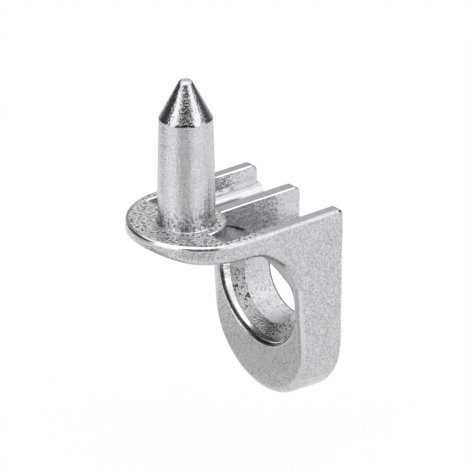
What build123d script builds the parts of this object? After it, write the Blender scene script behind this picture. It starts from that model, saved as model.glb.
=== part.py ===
from build123d import *
import os
from math import sqrt

# Shelf support, one casting: a pin that stands up into the shelf, a plate the shelf lies on,
# and a tongue that hangs down the cabinet wall and takes one screw through a sunk hole.
# Millimetres. X is the width, +Y points at the wall, +Z is up. The origin is the pin's axis
# in the plane of the plate's top.

# pin: a straight foot that fits the shelf's hole, then drafted up to the cone
PIN_FOOT_R = 2.43
PIN_FOOT_Z = 2.80
PIN_NECK_R = 2.26
PIN_NECK_Z = 9.40
PIN_TIP_R = 0.50
PIN_TIP_Z = 12.75
PIN_TIP_ROUND = 0.38
PIN_FOOT_ROUND = 0.20

# outline seen from above: a half round in front, straight sides back to the wall
HALF_W = 6.40
NOSE_Y = 1.55
BACK_Y = 11.95

# outline seen from the front: straight sides, a half round foot that drops a little to the wall
FOOT_Z = -12.62
FOOT_SLOPE = 0.06

# section of the plate's underside and of the tongue's front, from the nose down
UNDER = [(-4.85, -1.10), (-3.30, -1.62), (-1.00, -1.87), (1.60, -1.92), (3.20, -2.18), (4.90, -3.17),
         (6.30, -4.58), (7.10, -6.20)]
FRONT = (7.45, -7.80)
FRONT_SLOPE = 0.071
EDGE_ROUND = 0.75
TOP_ROUND = 0.30
RIB_ROUND = 0.12

# three ribs that run back to the wall, with two pockets between them
RIB = 1.06
RIB_CORNER = 0.70
BOSS_R = 3.35
POCKET_NOSE_Y = -1.20
POCKET_NOSE_ROUND = 0.35
FLOOR = [(-1.20, 0.38), (0.47, -0.33), (2.62, -1.22), (3.60, -1.42), (4.28, -1.65), (4.77, -1.91),
         (5.31, -2.21), (5.64, -2.42), (6.19, -2.82)]
LEDGE_X = 4.35
LEDGE_Z = -1.66
LEDGE_ROUND = 0.80

# screw hole: a sunk round, a shallow cone that seats the screw's head, then the bore
HOLE_Z = -8.76
SUNK_R = 5.05
SUNK_Y = 8.64
SEAT_Y = 9.10
BORE_R = 3.58
RIM_ROUND = 0.40
TUBE_R = 5.85

os.makedirs("parts", exist_ok=True)
BOTTOM_Z = FOOT_Z - HALF_W
inner_x = HALF_W - RIB

# pockets between the ribs: their front wall is a boss round the pin, their floor follows
# the underside and then the tube round the sunk hole, and a ledge runs along each outer rib
with BuildPart() as pockets:
    with BuildSketch(Plane.XY.offset(1)) as pockets_plan:
        for side in (-1, 1):
            with Locations((side * (RIB / 2 + inner_x) / 2, (POCKET_NOSE_Y + BACK_Y + 2) / 2)):
                Rectangle(inner_x - RIB / 2, BACK_Y + 2 - POCKET_NOSE_Y)
        Circle(BOSS_R, mode=Mode.SUBTRACT)
        nose = [v for v in pockets_plan.vertices() if abs(v.Y - POCKET_NOSE_Y) < 0.01]
        fillet(nose, POCKET_NOSE_ROUND)
    extrude(amount=-8)
    with BuildSketch(Plane.YZ.offset(-HALF_W)):
        with BuildLine():
            Line((-3, FLOOR[0][1]), FLOOR[0])
            Spline(*FLOOR, (7.6, -6.0), tangents=[(1, -0.42), (0.25, -1)])
            Polyline((7.6, -6.0), (BACK_Y + 3, -6.0), (BACK_Y + 3, 2), (-3, 2), (-3, FLOOR[0][1]))
        make_face()
    extrude(amount=2 * HALF_W, mode=Mode.INTERSECT)
    with BuildSketch(Plane.XZ.offset(10)):
        tube_top = sqrt(TUBE_R ** 2 - LEDGE_X ** 2) + HOLE_Z
        with BuildLine():
            Line((-inner_x - 0.1, 2), (-inner_x - 0.1, LEDGE_Z))
            Line((-inner_x - 0.1, LEDGE_Z), (-LEDGE_X, LEDGE_Z))
            Line((-LEDGE_X, LEDGE_Z), (-LEDGE_X, tube_top))
            ThreePointArc((-LEDGE_X, tube_top), (0, HOLE_Z + TUBE_R), (LEDGE_X, tube_top))
            Line((LEDGE_X, tube_top), (LEDGE_X, LEDGE_Z))
            Line((LEDGE_X, LEDGE_Z), (inner_x + 0.1, LEDGE_Z))
            Polyline((inner_x + 0.1, LEDGE_Z), (inner_x + 0.1, 2), (-inner_x - 0.1, 2))
        make_face()
    extrude(amount=-(BACK_Y + 15), mode=Mode.INTERSECT)
    rolled = [e for e in pockets.edges().filter_by(Axis.Y)
              if abs(abs(e.center().X) - LEDGE_X) < 0.01 and abs(e.center().Z - LEDGE_Z) < 0.01]
    fillet(rolled, LEDGE_ROUND)

with BuildPart() as shelf_support:
    # the body is the outline from above, cut to the section and to the outline from the front
    with BuildSketch(Plane.XY):
        with Locations((0, NOSE_Y)):
            Circle(HALF_W)
        with Locations((0, (NOSE_Y + BACK_Y) / 2)):
            Rectangle(2 * HALF_W, BACK_Y - NOSE_Y)
    extrude(amount=BOTTOM_Z - 1)

    with BuildSketch(Plane.YZ.offset(-HALF_W - 1)):
        with BuildLine():
            low = BOTTOM_Z - 1
            front_low = (FRONT[0] + FRONT_SLOPE * (FRONT[1] - low), low)
            Line((-8, 1), (-8, -0.20))
            Line((-8, -0.20), UNDER[0])
            Spline(*UNDER, FRONT, tangents=[(1, -0.3), (FRONT_SLOPE, -1)])
            Polyline(FRONT, front_low, (BACK_Y + 2, low), (BACK_Y + 2, 1), (-8, 1))
        make_face()
    extrude(amount=2 * HALF_W + 2, mode=Mode.INTERSECT)

    with BuildSketch(Plane.XZ.offset(-BACK_Y)):
        with Locations((0, FOOT_Z)):
            Circle(HALF_W)
        with Locations((0, FOOT_Z / 2 + 1)):
            Rectangle(2 * HALF_W, -FOOT_Z + 2)
    extrude(amount=BACK_Y + 10, dir=(0, -1, FOOT_SLOPE), mode=Mode.INTERSECT)

    # the whole lower edge, from the nose down both sides and round the foot, is softened as cast
    far_y = FRONT[0] + FRONT_SLOPE * (FRONT[1] - BOTTOM_Z) + 0.01
    lower = [e for e in shelf_support.edges() if e.bounding_box().max.Z < -0.5
             and e.bounding_box().max.Y < far_y
             and not (e.geom_type == GeomType.LINE and e.bounding_box().size.X > HALF_W)]
    fillet(lower, EDGE_ROUND)

    # the two pockets leave three ribs that run back to the wall
    add(pockets.part, mode=Mode.SUBTRACT)

    # the ribs' far top corners
    corners = [e for e in shelf_support.edges().filter_by(Axis.X)
               if abs(e.center().Y - BACK_Y) < 0.01 and abs(e.center().Z) < 0.01]
    fillet(corners, RIB_CORNER)

    # outer rim of the top, then the inner edges of the ribs and pockets
    top = [e for e in shelf_support.edges() if e.bounding_box().max.Z > -0.01
           and e.bounding_box().min.Z > -RIB_CORNER - 0.01
           and abs(e.center().X) < HALF_W + 0.01
           and (e.geom_type == GeomType.CIRCLE or e.bounding_box().size.Y > 1)]
    rim = [e for e in top if e.bounding_box().max.X > HALF_W - 0.01 or e.bounding_box().min.X < 0.01 - HALF_W]
    fillet(rim, TOP_ROUND)

    inner = [e for e in shelf_support.edges() if abs(e.bounding_box().max.Z) < 0.001
             and abs(e.center().X) < inner_x + 0.01 and e.bounding_box().min.Y > -4
             and e.bounding_box().min.Z > -RIB_CORNER - 0.01]
    inner = [e for e in inner if e.geom_type == GeomType.CIRCLE
             or (e.center().Y < 11 and e.bounding_box().size.Y > 1)]
    fillet(inner, RIB_ROUND)

    # pin with its straight foot, drafted shaft and cone
    with BuildSketch(Plane.XZ):
        with BuildLine():
            Polyline((0, -0.5), (PIN_FOOT_R, -0.5), (PIN_FOOT_R, PIN_FOOT_Z), (PIN_NECK_R, PIN_NECK_Z),
                     (PIN_TIP_R, PIN_TIP_Z), (0, PIN_TIP_Z), (0, -0.5))
        make_face()
    revolve(axis=Axis.Z)
    tip = [e for e in shelf_support.edges().filter_by(GeomType.CIRCLE) if e.center().Z > PIN_TIP_Z - 0.1]
    fillet(tip, PIN_TIP_ROUND)
    foot = [e for e in shelf_support.edges().filter_by(GeomType.CIRCLE)
            if abs(e.center().Z) < 0.01 and abs(e.radius - PIN_FOOT_R) < 0.01]
    fillet(foot, PIN_FOOT_ROUND)

    # sunk hole, seat and bore
    with BuildSketch(Plane.YZ):
        with BuildLine():
            Polyline((3.6, HOLE_Z), (3.6, HOLE_Z + SUNK_R), (SUNK_Y, HOLE_Z + SUNK_R),
                     (SEAT_Y, HOLE_Z + BORE_R), (BACK_Y + 1, HOLE_Z + BORE_R), (BACK_Y + 1, HOLE_Z),
                     (3.6, HOLE_Z))
        make_face()
    revolve(axis=Axis((0, 0, HOLE_Z), (0, 1, 0)), mode=Mode.SUBTRACT)
    mouth = [e for e in shelf_support.edges() if e.bounding_box().max.Y < SUNK_Y - 0.1
             and e.bounding_box().size.Z > 3 and e.bounding_box().max.Z < HOLE_Z + SUNK_R + 0.05
             and e.bounding_box().max.X < SUNK_R + 0.05 and e.bounding_box().min.X > -SUNK_R - 0.05]
    fillet(mouth, RIM_ROUND)

shelf_support.part.label = "shelf_support"
print("volume", shelf_support.part.volume, len(shelf_support.solids()), shelf_support.part.is_valid)
export_step(shelf_support.part, "parts/shelf_support.step")
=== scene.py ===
# %% [markdown]
# # Shelf support pin
# A small nickel plated casting: a pin stands up into the shelf, a rounded plate with three ribs
# carries it, and a tongue with a sunk screw hole hangs down the cabinet wall. The solid comes
# from the packed frame. This lesson gives it its finish, its studio and its camera. Loading comes
# first, and the box round the solid is kept and printed.

# %% Load the frame
import math
import bpy
import numpy as np
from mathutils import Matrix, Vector


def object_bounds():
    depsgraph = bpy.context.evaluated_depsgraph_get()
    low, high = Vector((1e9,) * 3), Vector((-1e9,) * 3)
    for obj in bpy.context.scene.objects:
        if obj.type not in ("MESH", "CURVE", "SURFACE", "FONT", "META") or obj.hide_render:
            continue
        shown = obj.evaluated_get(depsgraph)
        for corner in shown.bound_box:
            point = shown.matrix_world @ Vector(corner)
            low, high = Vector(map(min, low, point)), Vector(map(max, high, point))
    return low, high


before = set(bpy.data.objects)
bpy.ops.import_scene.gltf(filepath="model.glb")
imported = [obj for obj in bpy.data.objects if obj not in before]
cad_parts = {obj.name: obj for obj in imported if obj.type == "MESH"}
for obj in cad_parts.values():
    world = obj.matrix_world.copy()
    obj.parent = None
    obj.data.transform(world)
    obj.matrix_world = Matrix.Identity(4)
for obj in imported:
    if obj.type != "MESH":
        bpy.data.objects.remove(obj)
MM = 0.001
scene = bpy.context.scene


def plain(bounds):
    """Bounds as two plain lists of numbers."""
    return [[float(v) for v in corner] for corner in bounds]


cad_box = plain(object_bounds())
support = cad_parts["shelf_support"]
print("CAD box, mm:", [[round(v / MM, 2) for v in corner] for corner in cad_box])

# %% [markdown]
# ## The camera
# The photo looks down at the part from its front right. The camera's place was solved from the
# part's own edges: it stands about a quarter of a metre away, which is close for a part this
# small, so the far ribs look a little smaller than the near one. A long lens keeps that look.

# %% Camera
AIM = Vector((2.947, 2.848, -1.117)) * MM
BACK = Vector((0.7062, -0.5617, 0.4310)).normalized()
DISTANCE = 252.954 * MM
LENS = 230.88
SENSOR = 36.0

camera_data = bpy.data.cameras.new("camera")
camera_data.lens = LENS
camera_data.sensor_width = SENSOR
camera_data.clip_start, camera_data.clip_end = 0.01, 20.0
camera = bpy.data.objects.new("camera", camera_data)
camera.location = AIM + BACK * DISTANCE
camera.rotation_euler = BACK.to_track_quat("Z", "Y").to_euler()
scene.collection.objects.link(camera)
scene.camera = camera
scene.view_settings.view_transform = "Standard"
print("camera at, mm:", [round(v / MM, 1) for v in camera.location])

# %% [markdown]
# ## Helpers for materials
# A material is a small graph of nodes. It could be drawn by hand in the shader editor, but a graph
# of this size reads better as sums. These helpers keep each finish short: one makes a node and
# fills its sockets, one does arithmetic, and one makes a soft step between two values.

# %% Node helpers


class Graph:
    """A material's nodes, with short ways to add them. Numbers fill sockets, sockets are linked."""

    def __init__(self, tree):
        self.tree = tree
        tree.nodes.clear()

    def add(self, kind, inputs=None, **settings):
        """One node of a kind, with its settings and its inputs by name or number."""
        made = self.tree.nodes.new(kind)
        for key, value in settings.items():
            setattr(made, key, value)
        for key, value in (inputs or {}).items():
            if isinstance(value, bpy.types.NodeSocket):
                self.tree.links.new(value, made.inputs[key])
            else:
                made.inputs[key].default_value = value
        return made

    def math(self, operation, a, b=0.0, clamp=False):
        """Arithmetic on one or two values."""
        made = self.add("ShaderNodeMath", {0: a, 1: b}, operation=operation, use_clamp=clamp)
        return made.outputs[0]

    def step(self, value, low, high):
        """A soft step: 0 below low, 1 above high, smooth between. It falls if low is above high."""
        if low > high:
            return self.math("SUBTRACT", 1.0, self.step(value, high, low))
        made = self.add("ShaderNodeMapRange", {0: value, 1: low, 2: high, 3: 0.0, 4: 1.0},
                        interpolation_type="SMOOTHSTEP")
        return made.outputs[0]

    def noise(self, place, scale, detail=2.0, roughness=0.5):
        """Cloudy noise between 0 and 1, scale in bumps per millimetre."""
        made = self.add("ShaderNodeTexNoise", {"Vector": place, "Scale": scale, "Detail": detail,
                                               "Roughness": roughness})
        return made.outputs["Fac"]

    def scaled(self, place, factors):
        """A place with its three numbers multiplied, which draws a pattern out along one."""
        made = self.add("ShaderNodeVectorMath", {0: place, 1: factors}, operation="MULTIPLY")
        return made.outputs[0]

    def mix(self, factor, a, b):
        """One value or the other, or some of both."""
        made = self.add("ShaderNodeMix", {0: factor, 2: a, 3: b}, data_type="FLOAT")
        return made.outputs[0]

    def tint(self, factor, a, b):
        """One colour or the other, or some of both."""
        made = self.add("ShaderNodeMix", {0: factor, 6: a, 7: b}, data_type="RGBA")
        return made.outputs[2]


print("graph helpers:", [name for name in vars(Graph) if not name.startswith("_")])

# %% [markdown]
# ## Satin nickel over a cast skin
# A die casting has a fine pebbled skin, and plating keeps it: each grain is a tiny mirror that
# faces its own way, so flat faces glitter and streak instead of shining evenly. Painted pictures
# could show this, but they need unwrapping and blur close up. Noise that is worked out in the
# part's own space, in millimetres, stays sharp and sits still, so that way was chosen.
#
# The finish isn't the same all over, so the material first needs to know where it is. It reads
# its place in millimetres, the way its face points, and its distance from the screw hole's axis.

# %% Places on the part
nickel = bpy.data.materials.new("nickel_plate")
nickel.use_nodes = True
g = Graph(nickel.node_tree)

coords = g.add("ShaderNodeTexCoord")
place = g.add("ShaderNodeVectorMath", {0: coords.outputs["Object"], "Scale": 1.0 / MM},
              operation="SCALE").outputs[0]
x, y, z = g.add("ShaderNodeSeparateXYZ", {0: place}).outputs
across, to_back, up = g.add("ShaderNodeSeparateXYZ", {0: coords.outputs["Normal"]}).outputs
off_middle = g.math("ABSOLUTE", x)

# the part's own measures, in millimetres, as its solid has them
HALF_WIDTH = 6.40
RIB_INSIDE = 5.34
LEDGE_INSIDE = 4.35
TOP_ROUND = 0.30
CONE_BASE = 9.40
HOLE_HEIGHT = -8.76
SUNK_RADIUS = 5.05
BORE_RADIUS = 3.58
SEAT_FRONT = 8.64
SEAT_BACK = 9.10
WALL_FACE = 11.95
NEAR = 0.02

from_bore = g.math("SQRT", g.math("ADD", g.math("MULTIPLY", x, x),
                                  g.math("POWER", g.math("SUBTRACT", z, HOLE_HEIGHT), 2.0)))
print("hole's axis at height, mm:", HOLE_HEIGHT)

# %% [markdown]
# ## Masks
# A mask is a value that is 1 on one feature and 0 elsewhere. Each is a product of soft steps in
# height, depth, width or facing, with edges a few hundredths of a millimetre soft, so that no
# finish ends in a hard seam. Three helpers put masks to use: a product, a sum, and a layering
# that lets each mask lay its own amount over what was there.

# %% Helpers for masks


def both(*masks):
    """The product of some masks: 1 only where all of them are."""
    made = masks[0]
    for mask in masks[1:]:
        made = g.math("MULTIPLY", made, mask)
    return made


def total(*parts):
    """The sum of some values."""
    made = parts[0]
    for part in parts[1:]:
        made = g.math("ADD", made, part)
    return made


def layered(amount, *layers):
    """An amount for the whole part, with each mask's own amount laid over it in turn."""
    for mask, own in layers:
        amount = g.mix(mask, amount, own)
    return amount


print("mask helpers:", both.__name__, total.__name__, layered.__name__)

# %% [markdown]
# The plate and the three ribs share one level top. It is coarse on the plate and smoother on the
# ribs, and its outer edge is a small bright round. The pin has a straight foot with a rougher
# skin, a drafted shaft, and a cone that is brightest of all.

# %% Masks for the top and the pin
rim = both(g.step(z, -TOP_ROUND - 0.06, -TOP_ROUND - 0.01), g.step(z, 0.04, 0.01),
           g.step(up, 0.02, 0.10), g.step(up, 0.995, 0.97))
level = both(g.step(z, -0.2, -0.05), g.step(z, 0.4, 0.2), g.step(up, 0.90, 0.97))
plate_top = both(level, g.step(y, 3.6, 3.0))
rib_top = both(level, g.step(y, 3.0, 3.6))
pin = g.step(z, 0.02, 0.1)
cone = g.step(z, CONE_BASE - 0.04, CONE_BASE + 0.04)
shaft = both(pin, g.math("SUBTRACT", 1.0, cone))
pin_foot = both(pin, g.step(z, 2.4, 0.3))
print("masks for the top and the pin made")

# %% [markdown]
# The pockets between the ribs have drawn sides, and a rolled ledge along each outer rib. A fine
# line of painted shade lies where the near pocket's floor meets the middle rib. The floor falls
# towards the wall there, so the line follows a height that falls with it.

# %% Masks for the pockets
FLOOR_START = (3.6, -1.42)
FLOOR_FALL = 0.49

pocket = both(g.step(off_middle, RIB_INSIDE + 0.06, RIB_INSIDE), g.step(z, -0.04, -0.2),
              g.step(y, 0.5, 2.5), g.step(up, 0.5, 0.2))
pocket_side = both(pocket, g.step(up, 0.3, 0.1), g.step(g.math("ABSOLUTE", across), 0.5, 0.9),
                   g.step(y, 9.46, 9.34))
middle_rib = g.step(off_middle, 3.0, 2.0)
ledge = both(g.step(off_middle, LEDGE_INSIDE - 0.15, LEDGE_INSIDE - 0.03),
             g.step(off_middle, RIB_INSIDE + 0.06, RIB_INSIDE + 0.02),
             g.step(z, -2.6, -2.4), g.step(z, -1.3, -1.5), g.step(y, 4.0, 4.6))
above_floor = total(g.math("SUBTRACT", z, FLOOR_START[1]),
                    g.math("MULTIPLY", g.math("SUBTRACT", y, FLOOR_START[0]), FLOOR_FALL))
# painted shade: a fine dark line in the crease between the near pocket's floor and the middle rib
floor_corner_shade = both(g.step(x, 0.74, 0.68), g.step(x, 0.2, 0.4), g.step(y, 3.7, 4.3),
                    g.step(y, 6.2, 5.2), g.step(above_floor, 0.26, 0.18),
                    g.step(above_floor, -0.20, -0.10))
print("masks for the pockets made")

# %% [markdown]
# The screw hole has a sunk wall, a shallow seat for the screw's head and a bore. Seen from the
# front, the seat is speckled on its left and has painted shade low on its right, and the mouth has
# a dark lip of painted shade low on its left. The photo shows them on those sides only, so the
# masks hold them there.

# %% Masks for the screw hole
in_hole = both(g.step(from_bore, SUNK_RADIUS + 0.07, SUNK_RADIUS + 0.03), g.step(z, -2.0, -2.6))
sunk_wall = both(in_hole, g.step(from_bore, SUNK_RADIUS - 0.05, SUNK_RADIUS - 0.02),
                 g.step(y, SEAT_FRONT + NEAR, SEAT_FRONT - NEAR), g.step(y, 5.0, 6.0))
seat = both(in_hole, g.step(y, SEAT_FRONT - NEAR, SEAT_FRONT + NEAR),
            g.step(y, SEAT_BACK + NEAR, SEAT_BACK - NEAR))
speckled = both(seat, g.step(z, -8.6, -9.0), g.step(z, -12.6, -11.8), g.step(x, -2.0, -2.8))
# painted shade: the seat darker low on its right
seat_low_shade = both(seat, g.step(z, -10.6, -11.4), g.step(x, -0.9, 0.1))
bore = both(g.step(from_bore, BORE_RADIUS + 0.06, BORE_RADIUS + 0.02),
            g.step(y, SEAT_BACK - NEAR, SEAT_BACK + NEAR))
# painted shade: a dark ring where the bore meets the wall face
bore_edge_shade = both(bore, g.step(y, WALL_FACE - 0.17, WALL_FACE - 0.09))
# painted shade: a dark lip low on the left of the mouth
lip_shade = both(g.step(from_bore, SUNK_RADIUS + 0.002, SUNK_RADIUS + 0.02),
           g.step(from_bore, SUNK_RADIUS + 0.21, SUNK_RADIUS + 0.13),
           g.step(y, 8.60, 8.50), g.step(z, -7.6, -9.4), g.step(x, 2.4, 0.6))
print("masks for the screw hole made")

# %% [markdown]
# Three more places: the tongue's front, which is smoother than the sides, the underside of the
# round under the plate's edge, which gets a line of painted shade, and the upright back edges,
# which get painted highlights in streaks.

# %% Masks for the outside
front = both(g.step(to_back, -0.6, -0.9), g.step(z, -2.5, -4.0), g.step(y, 8.6, 8.4))
# painted shade along the underside of the round under the plate's edge
under_edge_shade = both(g.step(off_middle, 5.5, 5.8), g.step(z, -4.2, -3.4), g.step(z, -0.9, -1.2),
                  g.step(up, -0.45, -0.62))
# painted highlights in streaks on the upright back edges
back_edge_highlight = both(g.step(y, WALL_FACE - 0.33, WALL_FACE - 0.20),
                 g.step(off_middle, HALF_WIDTH - 0.35, HALF_WIDTH - 0.20))
print("masks for the outside made")

# %% [markdown]
# ## Grain
# The skin of the casting is made from six noises: pebbles, a finer grain on them, upright streaks
# for the shaft, lines drawn out towards the wall for the pockets, spots for pits, and wide clouds.
# A noise looks stretched along an axis whose numbers are made smaller first, which gives the
# streaks and the drawn lines without a second kind of pattern.

# %% Noises
fine = g.noise(place, 7.0, 2.0, 0.6)
pebble = g.noise(place, 4.6, 2.0, 0.5)
streak = g.noise(g.scaled(place, (1.0, 1.0, 0.20)), 2.6, 2.0, 0.5)
drawn = g.noise(g.scaled(place, (1.0, 0.30, 1.0)), 6.5, 2.0, 0.6)
spots = g.noise(place, 3.6, 1.0, 0.5)
cloud = g.noise(place, 0.9, 2.0, 0.5)
print("noises made")

# %% [markdown]
# The grain is a height in millimetres, and bump turns it into small changes of facing. Real
# displacement would need a far finer mesh for grain this small. Each feature has its own depth:
# deepest on the plate's top, and only a few thousandths of a millimetre on the ledges.

# %% Grain, as a height in millimetres
SKIN_DEPTH = 0.044
GRAIN_DEPTHS = (
    (plate_top, 0.090), (rib_top, 0.012), (front, 0.020), (shaft, 0.024), (pin_foot, 0.050),
    (pocket, 0.022), (ledge, 0.004), (seat, 0.012), (bore, 0.030), (cone, 0.030), (rim, 0.010),
    (sunk_wall, 0.004))

grain = total(pebble, g.math("MULTIPLY", fine, 0.70), both(shaft, streak, 1.6),
              both(pocket, drawn, 2.0))
height = g.math("MULTIPLY", grain, layered(SKIN_DEPTH, *GRAIN_DEPTHS))
grained = g.add("ShaderNodeBump", {"Strength": 1.0, "Distance": 1.0 * MM,
                                   "Height": height}).outputs[0]
print("grain depths set for", len(GRAIN_DEPTHS), "features")

# %% [markdown]
# The wall of the real sunk round flares to the front and shows as a narrow bright band. The solid
# has a straight wall there. A height that grows towards the back tilts its shading to the front.
# The tilt is larger than a real flare has, so that the band mirrors the bright surround. It could
# be modelled instead, and for a wider wall it should be.

# %% Flare of the sunk wall
FLARE = 1.70

flare = g.add("ShaderNodeBump", {"Strength": 1.0, "Distance": 1.0 * MM,
                                 "Height": g.math("MULTIPLY", y, FLARE)}).outputs[0]
normal = g.add("ShaderNodeMix", {0: sunk_wall, 4: grained, 5: flare},
               data_type="VECTOR").outputs[1]
print("flare, height per depth:", FLARE)

# %% [markdown]
# ## Dark places
# The hollows between the grains are painted a little darker, as shade. Deeper pits get darker
# painted shade still, and there are many on the plate's top and few on the rims. Bump alone can't
# show them, because a pit this small is hardly wider than a pixel, so their shade is painted in
# the colour too. Both are layered like the grain, each feature with its own share.

# %% Hollows and pits
SKIN_HOLLOW_SHADE, SKIN_PIT_SHADE = 0.37, 0.04
HOLLOW_SHADES = (
    (plate_top, 0.0), (rib_top, 0.10), (front, 0.12), (shaft, 0.20), (pocket, 0.10), (ledge, 0.0),
    (seat, 0.08), (speckled, 0.45), (seat_low_shade, 0.62), (bore, 0.10), (cone, 0.03), (rim, 0.05),
    (sunk_wall, 0.0))
PIT_SHADES = (
    (plate_top, 0.88), (rib_top, 0.06), (pin_foot, 0.60), (pocket, 0.25), (ledge, 0.0),
    (seat, 0.10), (speckled, 0.95), (bore, 0.22), (cone, 0.30), (rim, 0.12), (sunk_wall, 0.0))

low_grain = total(g.math("MULTIPLY", pebble, 0.45), g.math("MULTIPLY", fine, 0.85))
# painted shade: the grain's low spots and the pits are darkened in the colour
hollow_shade = both(g.step(low_grain, 0.76, 0.50), layered(SKIN_HOLLOW_SHADE, *HOLLOW_SHADES))
pits = both(g.step(spots, 0.58, 0.64), layered(SKIN_PIT_SHADE, *PIT_SHADES))
print("hollows and pits set for", len(HOLLOW_SHADES), "and", len(PIT_SHADES), "features")

# %% [markdown]
# The ribs' sides have dark drawn lines, and painted shade darkens the middle rib's side towards its
# end. The cone has a speckled strip of painted dark reflection down its front right, with a thin
# dark line of painted reflection at its foot, and the whole part has faint clouds.

# %% Drawn lines, painted shade at the rib's end, and painted reflections on the cone
FRONT_RIGHT = (0.783, 0.622)


def to_front_right(right, back):
    """How far a place or a facing goes to the part's front right: right share less back share."""
    return g.math("SUBTRACT", g.math("MULTIPLY", right, FRONT_RIGHT[0]),
                  g.math("MULTIPLY", back, FRONT_RIGHT[1]))


drawn_lines = both(pocket_side, g.step(drawn, 0.54, 0.47), g.mix(middle_rib, 0.46, 0.26))
# painted shade: the middle rib's side darker towards its end
rib_end_shade = both(pocket_side, middle_rib, g.step(y, 7.4, 8.8), 0.20)
clouds = g.math("MULTIPLY", g.step(cloud, 0.35, 0.65), 0.05)
# painted reflection: a dark speckled strip down the cone's front right
cone_strip_reflection = both(cone, g.step(to_front_right(across, to_back), 0.80, 0.85),
             g.step(fine, 0.60, 0.44), 0.55)
# painted reflection: a thin dark line at the cone's foot, on its front right
collar_reflection = both(g.step(z, CONE_BASE - 0.04, CONE_BASE), g.step(z, CONE_BASE + 0.20, CONE_BASE + 0.14),
              g.step(to_front_right(x, y), 2.02, 2.10), g.step(fine, 0.66, 0.54), 0.90)
print("lines, strip and collar made")

# %% [markdown]
# Thin lines of painted shade follow some edges and a crease, the seat has painted shade low on its
# right, and the rib tops are a little darker. Everything dark, painted shade and grain alike, is
# then added up into one share between plain nickel and near black.

# %% All that is dark
# painted shade lines and the seat's painted shade; the last entry darkens the rib tops
LINES = ((bore_edge_shade, 0.70), (lip_shade, 0.85), (floor_corner_shade, 0.80), (under_edge_shade, 0.45),
         (seat_low_shade, 0.28), (rib_top, 0.20))

lines = total(*(g.math("MULTIPLY", mask, share) for mask, share in LINES))
dark = g.math("ADD", total(hollow_shade, pits, drawn_lines, rib_end_shade, clouds, cone_strip_reflection, collar_reflection), lines,
              clamp=True)
print("dark lines:", len(LINES))

# %% [markdown]
# ## Painted highlights
# The plate's rim, the ledges, the ribs' inner sides and the high spots of the plate's top and the
# pin's foot have painted highlights, and so do streaks on the back edges. The sunk wall gets the
# same painted highlight, for its band.

# %% All that is bright
# painted highlights: rims, ledges, ribs' inner sides and spots on the plate and the pin's foot
highlights = total(both(rim, g.step(off_middle, 5.5, 5.4), 0.90), g.math("MULTIPLY", ledge, 0.1575),
                 g.math("MULTIPLY", pocket_side, 0.72),
                 both(g.math("MAXIMUM", plate_top, pin_foot), g.step(spots, 0.50, 0.42), 0.99))
bright = g.math("ADD", both(back_edge_highlight, g.step(streak, 0.42, 0.58)),
                g.math("MAXIMUM", sunk_wall, highlights), clamp=True)
print("bright places made")

# %% [markdown]
# ## The metal
# The plating in the photo is grey with a faint violet cast. The colours only set how much light
# it gives back: its shine is a metal's, all over. The cone and the pockets are a little smoother,
# so what they mirror is sharper.

# %% Nickel
NICKEL = (0.680, 0.668, 0.698, 1.0)
# the second colour is that of the painted highlights, the third that of painted shade and grain
HIGHLIGHT = (0.93, 0.92, 0.95, 1.0)
DARK = (0.05, 0.049, 0.053, 1.0)
SATIN, SMOOTH = 0.20, 0.13

colour = g.tint(dark, g.tint(bright, NICKEL, HIGHLIGHT), DARK)
roughness = layered(SATIN, (pocket, SMOOTH), (cone, SMOOTH))
surface = g.add("ShaderNodeBsdfPrincipled", {
    "Base Color": colour, "Metallic": 1.0, "Roughness": roughness, "Normal": normal})
g.add("ShaderNodeOutputMaterial", {0: surface.outputs[0]})

support.data.materials.clear()
support.data.materials.append(nickel)
print("nickel nodes:", len(nickel.node_tree.nodes))

# %% [markdown]
# ## The studio
# A white floor under a white surround. The camera sees both as white paper, and so in part does
# the metal. That white could come from more lamps, but then the part would burn out, so it comes
# from a glow that only camera and metal see. Plain light still falls on the floor, and the part
# throws its shadow there.

# %% Paper
WHITE = (1.0, 1.0, 1.0, 1.0)
PAPER = (0.9, 0.9, 0.9, 1.0)


def paper(name, camera_share, metal_share):
    """White paper: partly a plain glow for the camera and for metal, so that it looks white."""
    made = bpy.data.materials.new(name)
    made.use_nodes = True
    p = Graph(made.node_tree)
    path = p.add("ShaderNodeLightPath").outputs
    metal = p.math("ADD", path["Is Glossy Ray"], path["Is Transmission Ray"], clamp=True)
    share = p.math("ADD", p.math("MULTIPLY", path["Is Camera Ray"], camera_share),
                   p.math("MULTIPLY", metal, metal_share), clamp=True)
    lit = p.add("ShaderNodeBsdfDiffuse", {"Color": PAPER})
    shine = p.add("ShaderNodeEmission", {"Color": WHITE, "Strength": 1.0})
    mixed = p.add("ShaderNodeMixShader", {0: share, 1: lit.outputs[0], 2: shine.outputs[0]})
    p.add("ShaderNodeOutputMaterial", {0: mixed.outputs[0]})
    return made


floor_paper = paper("floor_paper", 0.95, 0.35)
print("paper:", floor_paper.name)

# %% [markdown]
# The floor, and later the cards, are surfaces of two parameters: a function says where each point
# of a grid goes, and the grid's cells become faces. The floor lies just under the tongue's foot.

# %% Floor
FLOOR_GAP = 6.0 * MM
FLOOR_REACH = 1.5
FLOOR_Z = cad_box[0][2] - FLOOR_GAP


def surface_mesh(name, corner, rows, columns):
    """A mesh from a function of two parameters, both from 0 to 1: corner(u, v) gives its points."""
    u, v = np.meshgrid(np.linspace(0, 1, columns), np.linspace(0, 1, rows))
    points = np.stack(corner(u, v), axis=-1).reshape(-1, 3)
    first = (np.arange(rows - 1)[:, None] * columns + np.arange(columns - 1)).reshape(-1)
    faces = np.stack([first, first + 1, first + columns + 1, first + columns], axis=1)
    mesh = bpy.data.meshes.new(name)
    mesh.from_pydata(points.tolist(), [], faces.tolist())
    made = bpy.data.objects.new(name, mesh)
    scene.collection.objects.link(made)
    return made


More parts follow.
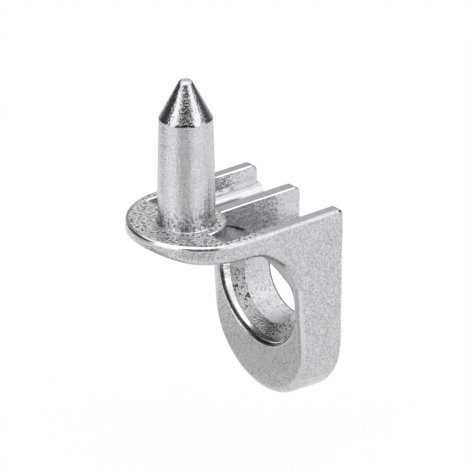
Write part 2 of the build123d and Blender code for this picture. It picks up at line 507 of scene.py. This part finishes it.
def floor_point(u, v):
    """A flat square: both parameters spread from minus the reach to plus the reach."""
    return FLOOR_REACH * (2 * u - 1), FLOOR_REACH * (2 * v - 1), FLOOR_Z + 0 * u


floor = surface_mesh("floor", floor_point, 2, 2)
floor.data.materials.append(floor_paper)
print("floor at, mm:", round(FLOOR_Z / MM, 2))

# %% [markdown]
# The surround is the world itself: full white for the camera and for metal, a little less as
# light on the part.

# %% Surround
SURROUND_LIGHT = 0.90

world = bpy.data.worlds.new("surround")
world.use_nodes = True
scene.world = world
w = Graph(world.node_tree)
path = w.add("ShaderNodeLightPath").outputs
seen = w.math("ADD", w.math("ADD", path["Is Camera Ray"], path["Is Glossy Ray"]),
              path["Is Transmission Ray"], clamp=True)
sky = w.add("ShaderNodeBackground", {"Color": WHITE,
                                     "Strength": w.mix(seen, SURROUND_LIGHT, 1.0)})
w.add("ShaderNodeOutputWorld", {0: sky.outputs[0]})
print("surround light:", SURROUND_LIGHT)

# %% [markdown]
# ## What the metal mirrors
# Metal shows what stands round it, so a photographer shapes it with cards. Dark card beside the
# camera draws the dark strip down the cone, and dark card at both sides draws its dark edges and
# the lines along the rims. Only the metal sees these cards: they throw no shadow and hide from
# the camera. Directions are given as a side, in degrees from the camera's, and a rise.

# %% Helpers for cards
CENTRE = Vector((0, 3, -3)) * MM
CAMERA_SIDE = -38.5


def toward(side, rise):
    """Unit vector at an angle beside the camera's direction and a rise, both in degrees."""
    a, e = np.radians(CAMERA_SIDE + side), np.radians(rise)
    return np.cos(a) * np.cos(e), np.sin(a) * np.cos(e), np.sin(e)


def between(pair, share):
    """The value at a share of the way from the first of a pair to the second."""
    return pair[0] + (pair[1] - pair[0]) * share


def only_for_metal(piece, glow):
    """Gives a piece of the stage a plain glow that only mirrors show."""
    paint = bpy.data.materials.new(piece.name)
    paint.use_nodes = True
    c = Graph(paint.node_tree)
    shine = c.add("ShaderNodeEmission", {"Color": (glow, glow, glow, 1.0), "Strength": 1.0})
    c.add("ShaderNodeOutputMaterial", {0: shine.outputs[0]})
    piece.data.materials.append(paint)
    piece.visible_camera = piece.visible_diffuse = piece.visible_shadow = False
    return piece


print("camera's side, degrees:", CAMERA_SIDE)

# %% [markdown]
# A card could be a flat sheet. A curved one, all of it at one distance, keeps its edges at plain
# directions, so it is easy to say which faces will mirror it. Grey cards next to the dark ones
# soften the dark edges of the cone, as they are in the photo.

# %% Cards round the part


def card(name, sides, rises, distance, glow):
    """A curved card round the part between two sides and two rises, in degrees.

    Each point is the centre plus the distance along the direction for its side and rise."""
    def corner(u, v):
        way = toward(between(sides, u), between(rises, v))
        return tuple(c + distance * d for c, d in zip(CENTRE, way))
    return only_for_metal(surface_mesh(name, corner, 13, 13), glow)


cards = [
    card("card_dark_camera", (-29, 31), (-6, 42), 0.10, 0.10),
    card("card_dark_left", (-132, -76), (-6, 40), 0.20, 0.06),
    card("card_grey_left", (-168, -132), (-6, 40), 0.20, 0.30),
    card("card_dark_right", (86, 134), (-6, 28), 0.20, 0.09),
    card("card_grey_right", (134, 152), (-6, 28), 0.20, 0.34),
    card("card_grey_behind", (152, 192), (-6, 26), 0.20, 0.52),
]
print("cards:", [c.name for c in cards])

# %% [markdown]
# Upright faces mirror the floor, because the camera looks down. Mats on the floor are how those
# faces get their tone: the tongue's front and the seat mirror the mats near the part, which are
# painted shadow standing for the part's own shadow on the floor, and the pin mirrors those further
# out, with one bright mat on each side for its two light bands.

# %% Mats on the floor
MAT_HEIGHT = 0.5 * MM


def mat(name, sides, reach, glow):
    """A flat mat on the floor: a piece of a ring about the part.

    Each point is at a side, in degrees, and at a distance between the two in reach, in mm."""
    def corner(u, v):
        right, back, _ = toward(between(sides, u), 0.0)
        away = between(reach, v) * MM
        return CENTRE.x + away * right, CENTRE.y + away * back, FLOOR_Z + MAT_HEIGHT + 0 * u
    return only_for_metal(surface_mesh(name, corner, 5, 25), glow)


mats = [
    # painted shadow: the two grey mats near the part
    mat("mat_front_shadow", (-150, -95), (4, 24), 0.55),
    mat("mat_seat_shadow", (-95, -62), (4, 44), 0.58),
    mat("mat_bright", (-40, 8), (12, 38), 1.12),
    mat("mat_camera", (-30, 15), (44, 90), 0.58),
    mat("mat_left", (-78, -42), (50, 90), 1.20),
    mat("mat_right", (28, 62), (44, 90), 1.12),
    mat("mat_behind", (150, 210), (60, 200), 0.80),
    mat("mat_dark", (-140, -92), (96, 190), 0.10),
]
print("mats:", [m.name for m in mats])

# %% [markdown]
# ## Lamps
# Three wide soft lamps, left, right and above. A lamp's power is worked out from how bright its
# face should look, so that a larger lamp is softer and not brighter.

# %% Lamps


def lamp(name, side, rise, distance, width, height, glow):
    """A soft lamp that shines at the part. Its power is its glow times pi times its area."""
    data = bpy.data.lights.new(name, "AREA")
    data.shape = "RECTANGLE"
    data.size, data.size_y = width, height
    data.energy = glow * math.pi * width * height
    way = Vector(toward(side, rise))
    made = bpy.data.objects.new(name, data)
    made.location = CENTRE + way * distance
    made.rotation_euler = way.to_track_quat("Z", "Y").to_euler()
    scene.collection.objects.link(made)
    return made


lamps = [
    lamp("lamp_left", -55, 33, 0.45, 0.42, 0.42, 0.42),
    lamp("lamp_right", 62, 32, 0.45, 0.50, 0.42, 0.38),
    lamp("lamp_top", 0, 88, 0.45, 0.46, 0.46, 0.50),
]
print("lamps:", [one.name for one in lamps])

# %% [markdown]
# ## Sizes
# The solid's box is printed after loading, near the start.
